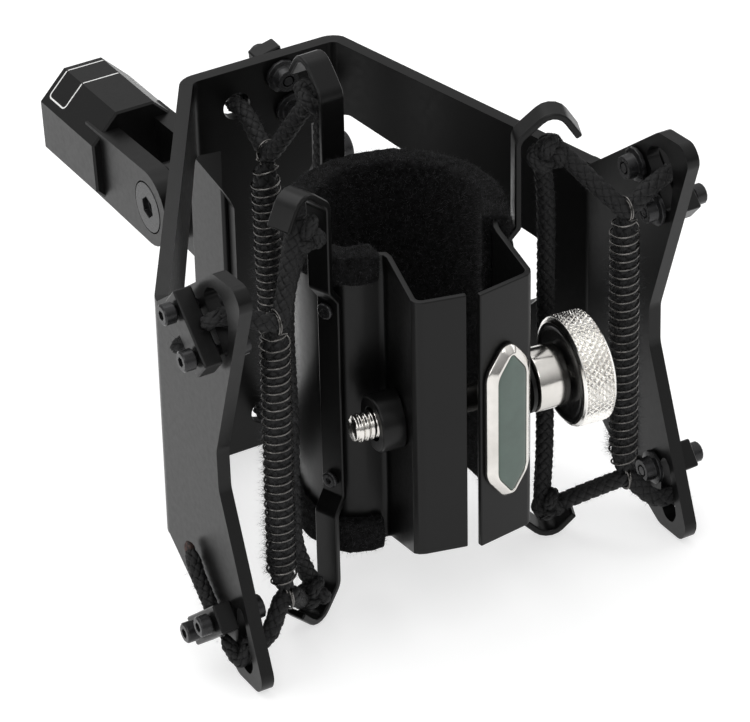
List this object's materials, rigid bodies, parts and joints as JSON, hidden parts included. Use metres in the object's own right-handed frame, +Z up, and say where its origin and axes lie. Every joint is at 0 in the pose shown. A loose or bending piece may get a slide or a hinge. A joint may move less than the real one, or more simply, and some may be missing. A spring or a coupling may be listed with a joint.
{
  "type": "microphone shock mount",
  "caption": "Sling shock mount: folded sheet frame, sprung cord slings, felt-lined clamp with thumb screw, and a tilting stand adapter.",
  "frame": {"origin": "on the ground under the middle of the object's box", "axes": "+Z up, -Y to the open front of the clamp, +X to the thumb screw's side, +Y to the stand adapter"},
  "size_m": [0.1252, 0.2005, 0.1148],
  "materials": {
    "satin_black_anodise": "satin black coat over sheet metal",
    "black_oxide_steel": "black oxide",
    "black_felt": "fuzzy black felt",
    "black_braid": "braided black cord",
    "spring_steel": "spring wire over a dark core",
    "bright_nickel": "bright nickel",
    "green_enamel": "muted green enamel"
  },
  "bodies": {
    "frame": {"clamp_screw_left_lower_1": "black_oxide_steel", "clamp_screw_left_lower_2": "black_oxide_steel", "clamp_screw_left_upper_1": "black_oxide_steel", "clamp_screw_left_upper_2": "black_oxide_steel", "clamp_screw_rear_lower_1": "black_oxide_steel", "clamp_screw_rear_lower_2": "black_oxide_steel", "clamp_screw_rear_upper_1": "black_oxide_steel", "clamp_screw_rear_upper_2": "black_oxide_steel", "clamp_screw_right_lower_1": "black_oxide_steel", "clamp_screw_right_lower_2": "black_oxide_steel", "clamp_screw_right_upper_1": "black_oxide_steel", "clamp_screw_right_upper_2": "black_oxide_steel", "coil_spring_left": "spring_steel", "coil_spring_rear": "spring_steel", "coil_spring_right": "spring_steel", "cord_clamp_bar_left_lower": "satin_black_anodise", "cord_clamp_bar_left_upper": "satin_black_anodise", "cord_clamp_bar_rear_lower": "satin_black_anodise", "cord_clamp_bar_rear_upper": "satin_black_anodise", "cord_clamp_bar_right_lower": "satin_black_anodise", "cord_clamp_bar_right_upper": "satin_black_anodise", "flange_nut_left_lower_1": "black_oxide_steel", "flange_nut_left_lower_2": "black_oxide_steel", "flange_nut_left_upper_1": "black_oxide_steel", "flange_nut_left_upper_2": "black_oxide_steel", "flange_nut_rear_lower_1": "black_oxide_steel", "flange_nut_rear_lower_2": "black_oxide_steel", "flange_nut_rear_upper_1": "black_oxide_steel", "flange_nut_rear_upper_2": "black_oxide_steel", "flange_nut_right_lower_1": "black_oxide_steel", "flange_nut_right_lower_2": "black_oxide_steel", "flange_nut_right_upper_1": "black_oxide_steel", "flange_nut_right_upper_2": "black_oxide_steel", "outer_frame": "satin_black_anodise", "sling_cord_left": "black_braid", "sling_cord_rear": "black_braid", "sling_cord_right": "black_braid", "swivel_base": "satin_black_anodise"},
    "stand": {"stand_adapter": "satin_black_anodise", "pivot_bolt": "black_oxide_steel"},
    "knob": {"pivot_knob": "black_oxide_steel"},
    "cradle": {"clamp_shell": "satin_black_anodise", "felt_liner_left": "black_felt", "threaded_boss": "satin_black_anodise", "pad_screw_left_1": "black_oxide_steel", "pad_screw_left_2": "black_oxide_steel", "pad_screw_rear_1": "black_oxide_steel", "pad_screw_rear_2": "black_oxide_steel", "suspension_bracket_left": "satin_black_anodise", "suspension_bracket_rear": "satin_black_anodise"},
    "jaw": {"clamp_jaw": "satin_black_anodise", "felt_liner_right": "black_felt", "flanged_bush": "satin_black_anodise", "badge_bezel": "bright_nickel", "badge_enamel": "green_enamel", "pad_screw_right_1": "black_oxide_steel", "pad_screw_right_2": "black_oxide_steel", "suspension_bracket_right": "satin_black_anodise"},
    "thumb": {"thumb_screw": "bright_nickel", "thumb_disc": "bright_nickel"}
  },
  "joints": [
    {"name": "cradle_bounce", "type": "slide", "parent": "frame", "child": "cradle", "axis": [0, -0.1193, 0.9929], "range_m": [-0.004, 0.004], "stiffness_N_per_m": 900, "springref_m": 0.00218, "deforming": ["coil_spring_left", "coil_spring_rear", "coil_spring_right", "sling_cord_left", "sling_cord_rear", "sling_cord_right"]},
    {"name": "jaw_open", "type": "hinge", "parent": "cradle", "child": "jaw", "pos_m": [-0.00011, -0.03876, 0.05719], "axis": [0, -0.1193, 0.9929], "range_deg": [-0.8, 1.6]},
    {"name": "thumb_turn", "type": "hinge", "parent": "jaw", "child": "thumb", "pos_m": [0.02, -0.08422, 0.05123], "axis": [0.9962, -0.0865, -0.0104], "range_deg": [-180, 360]},
    {"name": "stand_tilt", "type": "hinge", "parent": "frame", "child": "stand", "pos_m": [0, 0.04604, 0.04885], "axis": [1, 0, 0], "range_deg": [-90, 90]},
    {"name": "pivot_knob_turn", "type": "hinge", "parent": "stand", "child": "knob", "pos_m": [0.02, 0.04604, 0.04885], "axis": [1, 0, 0], "range_deg": [0, 360]}
  ],
  "couplings": [
    {"joint": "jaw_open", "follows": "thumb_turn", "ratio": 0.004442}
  ]
}
